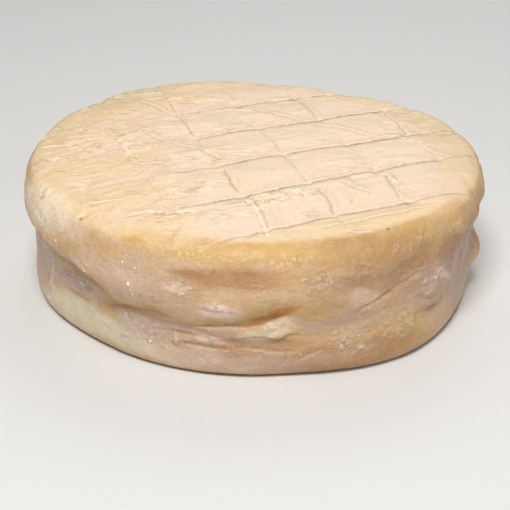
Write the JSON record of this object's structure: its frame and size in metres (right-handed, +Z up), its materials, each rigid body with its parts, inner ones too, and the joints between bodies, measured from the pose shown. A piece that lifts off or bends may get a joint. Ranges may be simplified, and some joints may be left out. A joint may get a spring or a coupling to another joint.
{
  "type": "soumaintrain cheese wheel",
  "caption": "Small whole wheel of soft washed-rind cheese with a leaning domed top, wire rack marks and a sagging, creased side.",
  "frame": {"origin": "middle of the bounding box in plan, at the height of the flat foot the wheel rests on", "axes": "+Z up through the thickness of the wheel, -Y towards the side shown in the picture, +X to the right of that side"},
  "size_m": [0.102, 0.099, 0.0313],
  "materials": {
    "rind": "soft, slightly tacky ivory to ochre rind with a satin sheen"
  },
  "bodies": {
    "root": {"cheese_wheel": "rind"}
  },
  "joints": []
}
